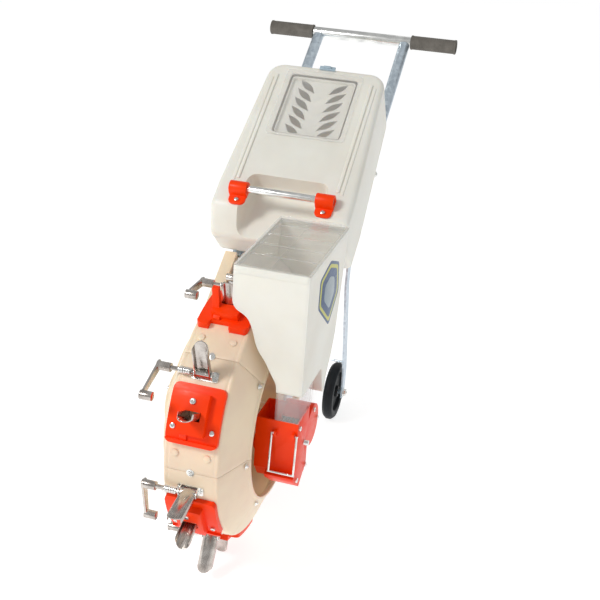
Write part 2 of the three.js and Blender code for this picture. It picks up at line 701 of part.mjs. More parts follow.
function feedCase() {
  const x1 = COVER_X - COVER_W;
  const shell = sideways(feedOutline(0), x1, COVER_X);
  const hollow = sideways(feedOutline(3), x1 + 3, COVER_X - 3);
  const trimmed = shell.subtract(boxSolid(CLEAR));
  const bore = disc(AXLE_R + RUN, x1 + 5, COVER_X + 1, 32);
  const spout = box(x1 + 6, COVER_X - 6, -14, 14, -COVER_R - 5, -COVER_R + 6);
  return cut(trimmed, hollow, bore, spout);
}

// the fertilizer box's outer form in place, grown a little
function boxSolid(grow) {
  return boxBody(-grow).rotate([BOX_SLOPE, 0, 0]).translate(BOX_PLACE);
}

function addFeed() {
  add('feed_case', feedCase(), IVORY);
  const x0 = COVER_X - COVER_W + 3 + RUN;
  const x1 = COVER_X - 3 - RUN;
  const pockets = Array.from({ length: 8 }, (_, i) => {
    const angle = rad(45 * i + 20);
    return disc(9, x0 - 1, x1 + 1, 14, ROTOR_R * Math.cos(angle), ROTOR_R * Math.sin(angle));
  });
  const rotor = cut(disc(ROTOR_R, x0, x1, 48), disc(AXLE_R + CLEAR, -200, 0, 32), ...pockets);
  add('feed_rotor', rotor, ORANGE);
}

// ---- seed hopper --------------------------------------------------------
// the hopper seen from the front, [x, z] above the axle: its left side steps
// outwards in an S to clear the drum
function hopperFront(inset) {
  const i = inset;
  const top = HOP_TOP + (i ? 20 : 0);
  return [
    [HOP_X0 + i, top], [HOP_X0 + i, TREAD_R + 38 + i * 0.4],
    [26 + i * 0.7, TREAD_R + 28 + i * 0.7], [TREAD_HALF + 1 + i * 0.7, TREAD_R + 16 + i * 0.7],
    [59 + i, TREAD_R - 8], [67 + i, TREAD_R - 40], [84 + i * 0.7, TREAD_R - 62 + i * 0.7],
    [SIDE_X + RUN + 2 + i, 146], [HOP_LOW_X + i, 128], [HOP_LOW_X + i, -40],
    [HOP_X1 - i, -40], [HOP_X1 - i, top],
  ];
}

// and from the side, [y, z]: a long skirt hangs behind the metering unit
function hopperSide(inset) {
  const i = inset;
  const top = HOP_TOP + (i ? 20 : 0);
  return [
    [HOP_Y0 + i, top], [HOP_Y0 + i, HOP_LOW + i], [UNIT_Y1 - 16 + i, HOP_LOW + i],
    [UNIT_Y1 + 4 + i, 48 + i], [54 - i * 0.5, 40 + i], [65 - i, 74], [93 - i, 106],
    [112 - i, 142], [123 - i, 190], [140 - i, 260], [HOP_Y1 - i, HOP_TOP - 20],
    [HOP_Y1 - i, top],
  ];
}

function hopperBody(inset) {
  const front = lengthways(hopperFront(inset), HOP_Y0, HOP_Y1 + 5);
  return front.intersect(sideways(hopperSide(inset), HOP_X0, HOP_X1));
}

// room for the side plate, which passes under the hopper's inner half
function plateRoom(grow) {
  const high = PLATE_W / 2 + 6 + grow;
  const x1 = SIDE_X + RUN + 2 + grow;
  return sideways([
    yz(onPost(0, -30, high)), yz(onPost(0, -30, -300)), yz(onPost(0, 500, -300)),
    yz(onPost(0, 500, high)),
  ], 0, x1);
}

function hopper() {
  const shell = cut(hopperBody(0), plateRoom(0));
  const hollow = cut(hopperBody(HOP_WALL), plateRoom(HOP_WALL));
  const outlet = box(HOP_LOW_X + 8, UNIT_X1 - 8, UNIT_Y0 + 12, -20, HOP_LOW - 5, HOP_LOW + 8);
  const band = cut(
    box(HOP_X0 - 1.5, HOP_X1 + 1.5, HOP_Y0 - 1.5, HOP_Y1 + 1.5, HOP_TOP - 20, HOP_TOP),
    box(HOP_X0 + 2, HOP_X1 - 2, HOP_Y0 + 2, HOP_Y1 - 2, HOP_TOP - 30, HOP_TOP + 10),
  );
  return cut(join(cut(shell, hollow), band), outlet);
}

function hopperLid() {
  const z0 = HOP_TOP + CLEAR;
  const plate = box(HOP_X0, HOP_X1, HOP_Y0, HOP_Y1, z0, z0 + 2.5);
  const edge = HOP_WALL + 2;
  const skirtOuter = box(HOP_X0 + edge, HOP_X1 - edge, HOP_Y0 + edge, HOP_Y1 - edge, z0 - 5, z0 + 1);
  const skirtInner = box(
    HOP_X0 + edge + 2, HOP_X1 - edge - 2, HOP_Y0 + edge + 2, HOP_Y1 - edge - 2, z0 - 6, z0 + 0.2,
  );
  const parts = [plate, cut(skirtOuter, skirtInner)];
  const mid = (HOP_X0 + HOP_X1) / 2;
  parts.push(box(mid - 1, mid + 1, HOP_Y0 + 4, HOP_Y1 - 4, z0 + 2, z0 + 4.5));
  for (let i = 1; i < 5; i += 1) {
    const y = HOP_Y0 + i * (HOP_Y1 - HOP_Y0) / 5;
    parts.push(box(HOP_X0 + 4, HOP_X1 - 4, y - 1, y + 1, z0 + 2, z0 + 4.5));
  }
  parts.push(bar([HOP_X0 + 14, HOP_Y1 + 2, z0 + 2], [HOP_X1 - 14, HOP_Y1 + 2, z0 + 2], 2.2, 12));
  return join(...parts);
}

function addHopper() {
  add('seed_hopper', hopper(), IVORY);
  add('hopper_lid', hopperLid(), CLEAR_PLASTIC);
}

// ---- press wheels -------------------------------------------------------
const PIVOT = onPost(0, ARM_TOP_S);

// one arm, drawn about its pivot bolt
function pressArm(sign, wheelZ) {
  const x0 = sign > 0 ? SIDE_X - SIDE_T : -SIDE_X;
  const half = ARM_W / 2;
  const foot = [PRESS_Y - PIVOT[1], wheelZ - PIVOT[2]];
  const blade = sideways([
    [-half, 12], [-half, -90], [-half - 14, -260], [foot[0] - half, foot[1] + 60],
    [foot[0] - half * 0.7, foot[1] - 12], [foot[0] + half * 0.7, foot[1] - 12],
    [foot[0] + half, foot[1] + 60], [half - 14, -260], [half, -90], [half, 12],
  ], x0, x0 + ARM_T).subtract(bar([-200, 0, 0], [200, 0, 0], 4 + CLEAR, 20));
  const out = sign > 0 ? x0 : x0 + ARM_T;
  const axle = bar([out + sign * 12, ...foot], [sign * (PRESS_X - PRESS_W / 2 - 8), ...foot], 5, 20);
  const scraper = bar([out, foot[0], foot[1] + PRESS_R + 12],
    [sign * (PRESS_X - PRESS_W / 2), foot[0], foot[1] + PRESS_R + 12], 2.5, 10);
  return join(blade, axle, scraper);
}

// the wheels stand on the same ground as the drum's lowest beaks
function addPressWheels() {
  const ground = new THREE.Box3().setFromObject(group, true).min.z;
  const wheelZ = ground + PRESS_R;
  const head = POST_X + POST_R + CLEAR;
  const nut = (side) => bar([side * head, 0, 0], [side * (head + 7), 0, 0], 8, 6);
  const rod = join(bar([-head - 3, 0, 0], [head + 3, 0, 0], 4, 20), nut(-1), nut(1));
  add('pivot_rod', rod, BRIGHT, 0, PIVOT);
  for (const [side, sign] of [['left', -1], ['right', 1]]) {
    const [, py, pz] = PIVOT;
    add(`press_arm_${side}`, pressArm(sign, wheelZ), ZINC, 0, [0, py, pz]);
    const wx = sign * PRESS_X;
    const half = PRESS_W / 2;
    const wheel = turned([
      [5.5, 1 - half], [14, 1 - half], [14, -3], [PRESS_R - 22, -3], [PRESS_R - 22, 2 - half],
      [PRESS_R - 18, -half], [PRESS_R - 6, -half], [PRESS_R, 7 - half], [PRESS_R, half - 7],
      [PRESS_R - 6, half], [PRESS_R - 18, half], [PRESS_R - 22, half - 2], [PRESS_R - 22, 3],
      [14, 3], [14, half - 1], [5.5, half - 1],
    ], 32).translate([wx, 0, 0]);
    add(`press_wheel_${side}`, wheel, BLACK, 0, [0, PRESS_Y, wheelZ]);
  }
}

// the posts are drilled for the arms' pivot bolts
function drillPosts() {
  for (const side of ['left', 'right']) {
    const post = group.children.find((child) => child.name === `post_${side}`);
    const [, py, pz] = PIVOT;
    const drilled = solid(post.geometry).subtract(bar([-200, py, pz], [200, py, pz], 4 + CLEAR, 20));
    post.geometry = geometryOf(drilled);
  }
}

addMouths();
addAxle();
addMetering();
addMeteringCase();
addBail();
addFrame();
addFertilizerBox();
addFeed();
addHopper();
addPressWheels();
drillPosts();

// the origin is under the middle of the whole seeder, on the ground
group.updateMatrixWorld(true);
const bounds = new THREE.Box3().setFromObject(group, true);
const middle = bounds.getCenter(new THREE.Vector3());
group.position.set(-middle.x, -middle.y, -bounds.min.z);
group.updateMatrixWorld(true);

export default group;
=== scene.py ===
"""Looks of the push seeder: its mouldings, steel, grips and fittings, in metres."""
import json
import logging
import math
from contextlib import contextmanager
from dataclasses import dataclass
from enum import Enum
from typing import Callable, Iterable, Iterator, Sequence

import bmesh
import bpy
from mathutils import Matrix, Vector


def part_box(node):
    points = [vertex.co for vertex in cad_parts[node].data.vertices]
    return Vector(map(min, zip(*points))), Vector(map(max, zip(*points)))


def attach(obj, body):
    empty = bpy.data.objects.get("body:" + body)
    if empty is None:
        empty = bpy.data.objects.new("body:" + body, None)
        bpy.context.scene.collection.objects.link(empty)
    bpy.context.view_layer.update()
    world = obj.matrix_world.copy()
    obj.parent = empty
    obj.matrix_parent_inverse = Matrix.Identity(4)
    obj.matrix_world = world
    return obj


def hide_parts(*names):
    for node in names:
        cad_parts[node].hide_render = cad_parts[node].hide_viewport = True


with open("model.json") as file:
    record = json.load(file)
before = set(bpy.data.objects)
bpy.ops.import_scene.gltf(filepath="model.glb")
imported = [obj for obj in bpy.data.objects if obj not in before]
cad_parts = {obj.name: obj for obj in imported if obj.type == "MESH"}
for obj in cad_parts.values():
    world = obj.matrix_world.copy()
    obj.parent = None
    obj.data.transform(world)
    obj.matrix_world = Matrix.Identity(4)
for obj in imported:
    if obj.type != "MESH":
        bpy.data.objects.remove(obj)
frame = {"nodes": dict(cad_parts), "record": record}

LOG = logging.getLogger("push_seeder")
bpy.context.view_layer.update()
MM = 0.001
MOUTHS = 7
MOUTH_PHASE = 25.5
PITCH = 360 / MOUTHS
AXLE = Vector([(a + b) / 2 for a, b in zip(*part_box("axle"))])
AXLE.x = 0.0

Point = Sequence[float]


class Axis(Enum):
    """The three directions a round piece may lie along."""

    X = (0.0, math.pi / 2, 0.0)
    Y = (math.pi / 2, 0.0, 0.0)
    Z = (0.0, 0.0, 0.0)


# ---- finishes ---------------------------------------------------------------


class Nodes:
    """A small helper that lays shader nodes for one material."""

    def __init__(self, name: str) -> None:
        """Starts a material.

        Args:
            name: the material's name.
        """
        self.material = bpy.data.materials.new(name)
        self.material.use_nodes = True
        self.tree = self.material.node_tree
        self.shader = self.tree.nodes["Principled BSDF"]
        self.where = self.tree.nodes.new("ShaderNodeTexCoord")

    def add(self, kind: str, **values: object) -> bpy.types.Node:
        """Adds a node and sets its inputs or properties.

        Args:
            kind: the node's type.
            values: input or property values by name, spaces written as underscores.

        Returns:
            The new node.
        """
        node = self.tree.nodes.new(kind)
        for key, value in values.items():
            socket = node.inputs.get(key.replace("_", " "))
            if socket is not None:
                socket.default_value = value
            else:
                setattr(node, key, value)
        return node

    def link(self, source: bpy.types.NodeSocket, target: bpy.types.NodeSocket) -> None:
        """Joins two sockets."""
        self.tree.links.new(source, target)

    def noise(self, scale: float, detail: float = 3.0,
              stretch: Point | None = None) -> bpy.types.NodeSocket:
        """Lays a noise pattern on object coordinates.

        Args:
            scale: the noise scale, per metre.
            detail: the noise detail.
            stretch: optional scale of the coordinates along each axis.

        Returns:
            The noise's value socket.
        """
        noise = self.add("ShaderNodeTexNoise", Scale=scale, Detail=detail)
        place = self.where.outputs["Object"]
        if stretch is not None:
            mapping = self.add("ShaderNodeMapping", Scale=stretch)
            self.link(place, mapping.inputs["Vector"])
            place = mapping.outputs["Vector"]
        self.link(place, noise.inputs["Vector"])
        return noise.outputs["Fac"]

    def ramp(self, value: bpy.types.NodeSocket, low: Point, high: Point,
             start: float = 0.35, end: float = 0.65) -> bpy.types.NodeSocket:
        """Turns a value into a colour between two colours.

        Args:
            value: the socket read.
            low: colour below start.
            high: colour above end.
            start: where the change begins.
            end: where it ends.

        Returns:
            The colour socket.
        """
        ramp = self.add("ShaderNodeValToRGB")
        ends = zip(ramp.color_ramp.elements, (start, end), (low, high))
        for element, position, colour in ends:
            element.position = position
            element.color = (*colour, 1)
        self.link(value, ramp.inputs["Fac"])
        return ramp.outputs["Color"]

    def span(self, value: bpy.types.NodeSocket, low: float, high: float) -> bpy.types.NodeSocket:
        """Maps a 0 to 1 value to a range.

        Args:
            value: the socket read.
            low: result at 0.25.
            high: result at 0.75.

        Returns:
            The mapped socket.
        """
        node = self.add("ShaderNodeMapRange", From_Min=0.25, From_Max=0.75, To_Min=low,
                        To_Max=high)
        self.link(value, node.inputs["Value"])
        return node.outputs["Result"]

    def bump(self, value: bpy.types.NodeSocket, strength: float, distance: float) -> None:
        """Adds a bump in front of any earlier one.

        Args:
            value: the height socket.
            strength: 0 to 1.
            distance: height in metres.
        """
        node = self.add("ShaderNodeBump", Strength=strength, Distance=distance)
        self.link(value, node.inputs["Height"])
        earlier = self.shader.inputs["Normal"].links
        if earlier:
            self.link(earlier[0].from_socket, node.inputs["Normal"])
        self.feed("Normal", node.outputs["Normal"])

    def feed(self, name: str, source: bpy.types.NodeSocket) -> None:
        """Drives one of the shader's own sockets."""
        self.link(source, self.shader.inputs[name])

    def set(self, **values: object) -> None:
        """Sets the shader's own sockets, spaces written as underscores."""
        for key, value in values.items():
            self.shader.inputs[key.replace("_", " ")].default_value = value


@dataclass(frozen=True)
class Plastic:
    """A moulded plastic: slight cloudiness, fine texture, light scuffs."""

    name: str
    light: Point
    dark: Point
    rough: float = 0.4
    glow: float = 0.0
    grain: float = 900.0
    shine: float = 0.5

    def make(self) -> bpy.types.Material:
        """Builds the material."""
        nodes = Nodes(self.name)
        cloud = nodes.noise(9.0, 4.0)
        nodes.feed("Base Color", nodes.ramp(cloud, self.dark, self.light, 0.3, 0.6))
        scuff = nodes.noise(70.0, 6.0, (1, 1, 4))
        nodes.feed("Roughness", nodes.span(scuff, self.rough - 0.07, self.rough + 0.12))
        nodes.bump(nodes.noise(self.grain, 2.0), 0.08, 0.0004)
        nodes.bump(nodes.noise(28.0, 2.0), 0.12, 0.0015)
        nodes.set(IOR=1.49, Specular_IOR_Level=self.shine)
        if self.glow:
            nodes.set(Subsurface_Weight=self.glow, Subsurface_Radius=(0.9, 0.6, 0.4),
                      Subsurface_Scale=0.012)
        return nodes.material


@dataclass(frozen=True)
class Steel:
    """Bare or plated steel with drawn lines and small stains."""

    name: str
    light: Point
    dark: Point
    rough: float = 0.25
    lines: Point = (6, 220, 220)
    spots: float = 45.0

    def make(self) -> bpy.types.Material:
        """Builds the material."""
        nodes = Nodes(self.name)
        stain = nodes.noise(self.spots, 6.0)
        nodes.feed("Base Color", nodes.ramp(stain, self.dark, self.light, 0.3, 0.62))
        drawn = nodes.noise(8.0, 5.0, self.lines)
        nodes.feed("Roughness", nodes.span(drawn, self.rough - 0.08, self.rough + 0.14))
        nodes.bump(drawn, 0.1, 0.0003)
        nodes.set(Metallic=1.0)
        return nodes.material


@dataclass(frozen=True)
class Galvanised:
    """Zinc coated tube with its patchwork of crystals."""

    name: str
    light: Point
    dark: Point

    def make(self) -> bpy.types.Material:
        """Builds the material."""
        nodes = Nodes(self.name)
        crystals = nodes.add("ShaderNodeTexVoronoi", Scale=130.0)
        nodes.link(nodes.where.outputs["Object"], crystals.inputs["Vector"])
        patch = nodes.add("ShaderNodeSeparateColor")
        nodes.link(crystals.outputs["Color"], patch.inputs["Color"])
        grey = patch.outputs["Red"]
        nodes.feed("Base Color", nodes.ramp(grey, self.dark, self.light, 0.0, 1.0))
        nodes.feed("Roughness", nodes.span(grey, 0.34, 0.5))
        nodes.bump(nodes.noise(240.0, 3.0), 0.12, 0.0004)
        nodes.set(Metallic=0.75)
        return nodes.material


@dataclass(frozen=True)
class Rubber:
    """Matt rubber or foam with a pitted skin and dust in the pits."""

    name: str
    light: Point
    dark: Point
    rough: float = 0.75
    pits: float = 700.0

    def make(self) -> bpy.types.Material:
        """Builds the material."""
        nodes = Nodes(self.name)
        dust = nodes.noise(60.0, 6.0)
        nodes.feed("Base Color", nodes.ramp(dust, self.dark, self.light, 0.35, 0.8))
        pits = nodes.noise(self.pits, 3.0)
        nodes.feed("Roughness", nodes.span(dust, self.rough - 0.1, self.rough + 0.1))
        nodes.bump(pits, 0.35, 0.0006)
        nodes.set(Sheen_Weight=0.03, Specular_IOR_Level=0.22)
        return nodes.material


@dataclass(frozen=True)
class ClearPlastic:
    """A clear moulding with faint haze and fine scratches."""

    name: str
    tint: Point
    see: float

    def make(self) -> bpy.types.Material:
        """Builds the material."""
        nodes = Nodes(self.name)
        haze = nodes.noise(30.0, 5.0)
        hazy = tuple(0.9 * c for c in self.tint)
        nodes.feed("Base Color", nodes.ramp(haze, hazy, self.tint))
        nodes.feed("Roughness", nodes.span(haze, 0.03, 0.09))
        nodes.feed("Alpha", nodes.span(nodes.noise(14.0, 3.0), self.see - 0.03, self.see + 0.03))
        nodes.bump(nodes.noise(18.0, 2.0), 0.04, 0.0004)
        nodes.set(IOR=1.49, Coat_Weight=0.6)
        return nodes.material


IVORY = Plastic("ivory_plastic", (0.87, 0.85, 0.77), (0.82, 0.785, 0.70), rough=0.42, glow=0.2)
DRUM_IVORY = Plastic("drum_ivory", (0.92, 0.76, 0.56), (0.84, 0.65, 0.49), rough=0.38, glow=0.25)
ORANGE = Plastic("orange_plastic", (1.0, 0.05, 0.0), (0.96, 0.032, 0.0), rough=0.34,
                 grain=1200.0, shine=0.22)
LATCH = Plastic("latch_plastic", (0.42, 0.53, 0.6), (0.36, 0.47, 0.55))
BLACK = Plastic("black_plastic", (0.02, 0.02, 0.022), (0.012, 0.012, 0.014), rough=0.45)
STAINLESS = Steel("stainless", (0.66, 0.62, 0.58), (0.36, 0.32, 0.29), rough=0.2,
                  lines=(220, 8, 8))
BRIGHT = Steel("bright_steel", (0.92, 0.93, 0.91), (0.70, 0.71, 0.70), rough=0.22,
               lines=(3, 260, 260))
ZINC = Galvanised("zinc_tube", (0.70, 0.79, 0.86), (0.50, 0.59, 0.67))
GRIP = Rubber("grip_foam", (0.20, 0.185, 0.165), (0.13, 0.12, 0.105))
WHEEL = Rubber("wheel_rubber", (0.012, 0.016, 0.02), (0.004, 0.006, 0.008), rough=0.55,
               pits=450.0)
CLEAR = ClearPlastic("clear_plastic", (0.98, 0.97, 0.95), see=0.17)
DECAL_BLUE = Plastic("decal_blue", (0.03, 0.09, 0.22), (0.02, 0.06, 0.16), rough=0.35)
DECAL_YELLOW = Plastic("decal_yellow", (0.62, 0.6, 0.12), (0.5, 0.5, 0.1), rough=0.35)
DECAL_GREY = Plastic("decal_grey", (0.35, 0.42, 0.46), (0.26, 0.33, 0.38), rough=0.35)


# ---- shaping ----------------------------------------------------------------


def deselect() -> None:
    """Leaves object mode with nothing selected."""
    if bpy.context.object and bpy.context.object.mode != "OBJECT":
        bpy.ops.object.mode_set(mode="OBJECT")
    bpy.ops.object.select_all(action="DESELECT")


def pick(piece: bpy.types.Object) -> None:
    """Makes one piece the active, selected one."""
    deselect()
    piece.select_set(True)
    bpy.context.view_layer.objects.active = piece


@contextmanager
def editing(piece: bpy.types.Object) -> Iterator[None]:
    """Opens one piece for editing with all of its mesh selected, and closes it again."""
    pick(piece)
    bpy.ops.object.mode_set(mode="EDIT")
    bpy.ops.mesh.select_all(action="SELECT")
    yield
    bpy.ops.object.mode_set(mode="OBJECT")


def smooth(piece: bpy.types.Object, angle: float = 32.0) -> None:
    """Shades a piece smooth below an angle in degrees."""
    pick(piece)
    bpy.ops.object.shade_smooth_by_angle(angle=math.radians(angle))


def apply(piece: bpy.types.Object, kind: str, **settings: object) -> None:
    """Adds a modifier with its settings and applies it.

    Args:
        piece: the piece changed.
        kind: the modifier's type.
        settings: the modifier's properties.
    """
    pick(piece)
    modifier = piece.modifiers.new(kind.lower(), kind)
    for key, value in settings.items():
        setattr(modifier, key, value)
    bpy.ops.object.modifier_apply(modifier=modifier.name)


def round_off(piece: bpy.types.Object, width: float, segments: int = 2,
              angle: float = 28.0) -> None:
    """Rounds a piece's sharp edges.

    Args:
        piece: the piece changed.
        width: the rounding's width in metres.
        segments: how many faces across the rounding.
        angle: the least sharp edge that is rounded, in degrees.
    """
    apply(piece, "BEVEL", width=width, segments=segments, limit_method="ANGLE",
          angle_limit=math.radians(angle))
    smooth(piece)


def select_where(kind: str, test: Callable[[object], bool]) -> None:
    """Selects the edges or faces of the mesh being edited that pass a test.

    Args:
        kind: "EDGE" or "FACE".
        test: says whether an element is wanted.
    """
    bpy.ops.mesh.select_mode(type=kind)
    bpy.ops.mesh.select_all(action="DESELECT")
    mesh = bmesh.from_edit_mesh(bpy.context.object.data)
    for item in mesh.edges if kind == "EDGE" else mesh.faces:
        if test(item):
            item.select_set(True)
    mesh.select_flush_mode()
    bmesh.update_edit_mesh(bpy.context.object.data)


def middle(edge: bmesh.types.BMEdge) -> Vector:
    """Returns the middle of an edge."""
    return (edge.verts[0].co + edge.verts[1].co) / 2


def settle(piece: bpy.types.Object) -> None:
    """Moves a piece's place, turn and scale into its mesh."""
    pick(piece)
    bpy.ops.object.transform_apply(location=True, rotation=True, scale=True)


def place(piece: bpy.types.Object, matrix: Matrix) -> None:
    """Puts a piece in place by changing its mesh.

    Args:
        piece: the piece moved.
        matrix: where it goes.
    """
    piece.data.transform(matrix)
    piece.data.update()


def copy_piece(piece: bpy.types.Object, name: str, matrix: Matrix) -> bpy.types.Object:
    """Copies a piece with a mesh of its own.

    Args:
        piece: the piece copied.
        name: the copy's name.
        matrix: where the copy goes.

    Returns:
        The copy.
    """
    made = piece.copy()
    made.data = piece.data.copy()
    made.name = name
    made.data.name = name
    bpy.context.collection.objects.link(made)
    place(made, matrix)
    return made


def remove(*pieces: bpy.types.Object) -> None:
    """Deletes patterns and cutters that have done their work."""
    for piece in pieces:
        bpy.data.objects.remove(piece)


def merge(name: str, parts: Sequence[bpy.types.Object]) -> bpy.types.Object:
    """Joins parts into one piece.

    Args:
        name: the piece's name.
        parts: what is joined.

    Returns:
        The joined piece.
    """
    deselect()
    for part in parts:
        part.select_set(True)
    bpy.context.view_layer.objects.active = parts[0]
    bpy.ops.object.join()
    parts[0].name = name
    parts[0].data.name = name
    return parts[0]


def cylinder(name: str, radius: float, length: float, at: Point = (0, 0, 0),
             axis: Axis = Axis.X, sides: int = 32, edge: float = 0.0) -> bpy.types.Object:
    """Makes a round piece with its rims bevelled.

    Args:
        name: the piece's name.
        radius: its radius.
        length: its length.
        at: its middle.
        axis: the way it lies.
        sides: faces round it.
        edge: the rims' bevel width.

    Returns:
        The piece.
    """
    deselect()
    bpy.ops.mesh.primitive_cylinder_add(vertices=sides, radius=radius, depth=length,
                                        location=at, rotation=axis.value)
    piece = bpy.context.object
    piece.name = name
    settle(piece)
    if edge:
        round_off(piece, edge, 3, 40)
    return piece


def block(name: str, low: Point, high: Point) -> bpy.types.Object:
    """Makes a block between two corners, ready to be shaped.

    Args:
        name: the piece's name.
        low: its lowest corner.
        high: its highest corner.

    Returns:
        The piece.
    """
    deselect()
    centre = [(a + b) / 2 for a, b in zip(low, high)]
    bpy.ops.mesh.primitive_cube_add(size=1, location=centre)
    piece = bpy.context.object
    piece.scale = [b - a for a, b in zip(low, high)]
    piece.name = name
    settle(piece)
    return piece


def slice_off(piece: bpy.types.Object, at: Point, normal: Point) -> None:
    """Cuts away what lies beyond a plane and closes the cut.

    Args:
        piece: the piece cut.
        at: a point on the plane.
        normal: the side that goes.
    """
    with editing(piece):
        bpy.ops.mesh.bisect(plane_co=at, plane_no=normal, use_fill=True, clear_outer=True)


def carve(piece: bpy.types.Object, cutter: bpy.types.Object,
          operation: str = "DIFFERENCE") -> None:
    """Cuts one piece by another, which is used up.

    Args:
        piece: the piece cut.
        cutter: what cuts it.
        operation: "DIFFERENCE", or "INTERSECT" to keep only what they share.
    """
    apply(piece, "BOOLEAN", object=cutter, operation=operation, solver="EXACT")
    remove(cutter)


def dress(piece: bpy.types.Object, finish: bpy.types.Material, body: str,
          stands_for: Iterable[str] = ()) -> bpy.types.Object:
    """Gives a piece its finish and says what it rides on.

    Args:
        piece: the piece.
        finish: its material.
        body: the body it moves with.
        stands_for: CAD nodes it replaces.

    Returns:
        The piece.
    """
    piece.data.materials.clear()
    piece.data.materials.append(finish)
    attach(piece, body)
    names = list(stands_for)
    if names:
        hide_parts(*names)
    return piece


def clean_copy(node: str, name: str) -> bpy.types.Object:
    """Copies a CAD node with its triangles merged into whole faces.

    Args:
        node: the CAD node.
        name: the copy's name.

    Returns:
        The copy, riding on nothing yet.
    """
    source = frame["nodes"][node]
    piece = bpy.data.objects.new(name, source.data.copy())
    bpy.context.collection.objects.link(piece)
    with editing(piece):
        bpy.ops.mesh.remove_doubles(threshold=2e-5)
        bpy.ops.mesh.dissolve_limited(angle_limit=math.radians(0.6))
    if piece.data.has_custom_normals:
        bpy.ops.mesh.customdata_custom_splitnormals_clear()
    return piece


# ---- places and outlines ----------------------------------------------------

AXLE_FRAME = Matrix.Translation(AXLE)
BOX_FRAME = (AXLE_FRAME @ Matrix.Translation((0, 0.2, 0.331))
             @ Matrix.Rotation(math.radians(35.7), 4, "X"))
HINGE_AHEAD = 17.0
HINGE_R = 241.0
TREAD_R = 230.0


def mouth_frame(index: int, ahead: float = 0.0) -> Matrix:
    """Returns the place of a mouth, with Z pointing out of the drum.

    Args:
        index: the mouth, counted from nought.
        ahead: degrees ahead of the mouth.
    """
    turn = math.radians(90 - MOUTH_PHASE - PITCH * index - ahead)
    return AXLE_FRAME @ Matrix.Rotation(turn, 4, "X")


def rounded(outline: Sequence[Point], radius: float | Sequence[float],
            steps: int = 5) -> list[tuple[float, float]]:
    """Rounds the corners of a closed outline.

    Args:
        outline: the corners in order.
        radius: how far each rounding reaches along the sides, one for all or one each.
        steps: points laid on each rounding.

    Returns:
        The rounded outline.
    """
    corners = [Vector(point).to_2d() for point in outline]
    reach = [radius] * len(corners) if isinstance(radius, (int, float)) else list(radius)
    points = []
    for index, corner in enumerate(corners):
        before = corners[index - 1] - corner
        after = corners[(index + 1) % len(corners)] - corner
        if reach[index] <= 0:
            points.append(tuple(corner))
            continue
        start = corner + before.normalized() * min(reach[index], 0.48 * before.length)
        end = corner + after.normalized() * min(reach[index], 0.48 * after.length)
        for step in range(steps + 1):
            t = step / steps
            spot = (1 - t) ** 2 * start + 2 * t * (1 - t) * corner + t * t * end
            points.append(tuple(spot))
    return points


def oblong(low: Point, high: Point, corner: float, steps: int = 5) -> list[tuple[float, float]]:
    """Returns a rectangle between two opposite corners, with all four rounded.

    Args:
        low: its lowest corner.
        high: its highest corner.
        corner: how far each rounding reaches along the sides.
        steps: points laid on each rounding.
    """
    (x0, y0), (x1, y1) = low, high
    return rounded([(x0, y0), (x1, y0), (x1, y1), (x0, y1)], corner, steps)


def flat(name: str, points: Sequence[Point], fill: str = "NGON") -> bpy.types.Object:
    """Lays a closed outline down as one face or as bare edges.

    Args:
        name: the piece's name.
        points: the outline's corners in metres.
        fill: "NGON" for a face, "NOTHING" for edges.

    Returns:
        The piece.
    """
    deselect()
    bpy.ops.mesh.primitive_circle_add(vertices=len(points), radius=1, fill_type=fill)
    piece = bpy.context.object
    piece.name = name
    for vertex, point in zip(piece.data.vertices, points):
        vertex.co = point
    return piece


def prism(name: str, outline: Sequence[Point], low: float, high: float,
          axis: Axis = Axis.X) -> bpy.types.Object:
    """Raises a flat outline into a solid piece.

    Args:
        name: the piece's name.
        outline: points in millimetres, across the axis.
        low: where it starts along the axis, in millimetres.
        high: where it ends.
        axis: the way it is raised.

    Returns:
        The piece.
    """
    order = {Axis.X: lambda a, b, c: (c, a, b), Axis.Y: lambda a, b, c: (a, c, b),
             Axis.Z: lambda a, b, c: (a, b, c)}[axis]
    piece = flat(name, [[value * MM for value in order(a, b, low)] for a, b in outline])
    step = [value * MM for value in order(0, 0, high - low)]
    with editing(piece):
        bpy.ops.mesh.extrude_region_move(TRANSFORM_OT_translate={"value": step})
        bpy.ops.mesh.select_all(action="SELECT")
        bpy.ops.mesh.normals_make_consistent(inside=False)
    return piece


def spin_round(piece: bpy.types.Object, steps: int, angle: float) -> None:
    """Sweeps a flat outline round X and merges what meets.

    Args:
        piece: the outline, which becomes the swept piece.
        steps: faces laid along the sweep.
        angle: how far it is swept, in radians.
    """
    with editing(piece):
        bpy.ops.mesh.spin(steps=steps, angle=angle, center=(0, 0, 0), axis=(1, 0, 0))
        bpy.ops.mesh.select_all(action="SELECT")
        bpy.ops.mesh.remove_doubles(threshold=1e-6)
        bpy.ops.mesh.normals_make_consistent(inside=False)


def pan_screw(name: str, radius: float, at: Point, turn: float = 20.0) -> bpy.types.Object:
    """Makes a domed screw head with a cross recess, standing on Z.

    Args:
        name: the piece's name.
        radius: the head's radius in millimetres.
        at: the middle of its seat, in millimetres.
        turn: the recess's turn in degrees.

    Returns:
        The piece.
    """
    height = radius * 0.6
    head = cylinder(name, radius * MM, height * MM, (0, 0, height / 2 * MM), Axis.Z, 20)
    with editing(head):
        select_where("FACE", lambda face: face.normal.z > 0.9)
        bpy.ops.mesh.inset(thickness=radius * 0.3 * MM, depth=radius * 0.18 * MM)
    for extra in (0.0, 90.0):
        slot = block(f"{name}_slot", (-radius * 0.55 * MM, -radius * 0.11 * MM, height * 0.55 * MM),
                     (radius * 0.55 * MM, radius * 0.11 * MM, height * 2 * MM))
        place(slot, Matrix.Rotation(math.radians(turn + extra), 4, "Z"))
        carve(head, slot)
    place(head, Matrix.Translation(Vector(at) * MM))
    smooth(head)
    return head


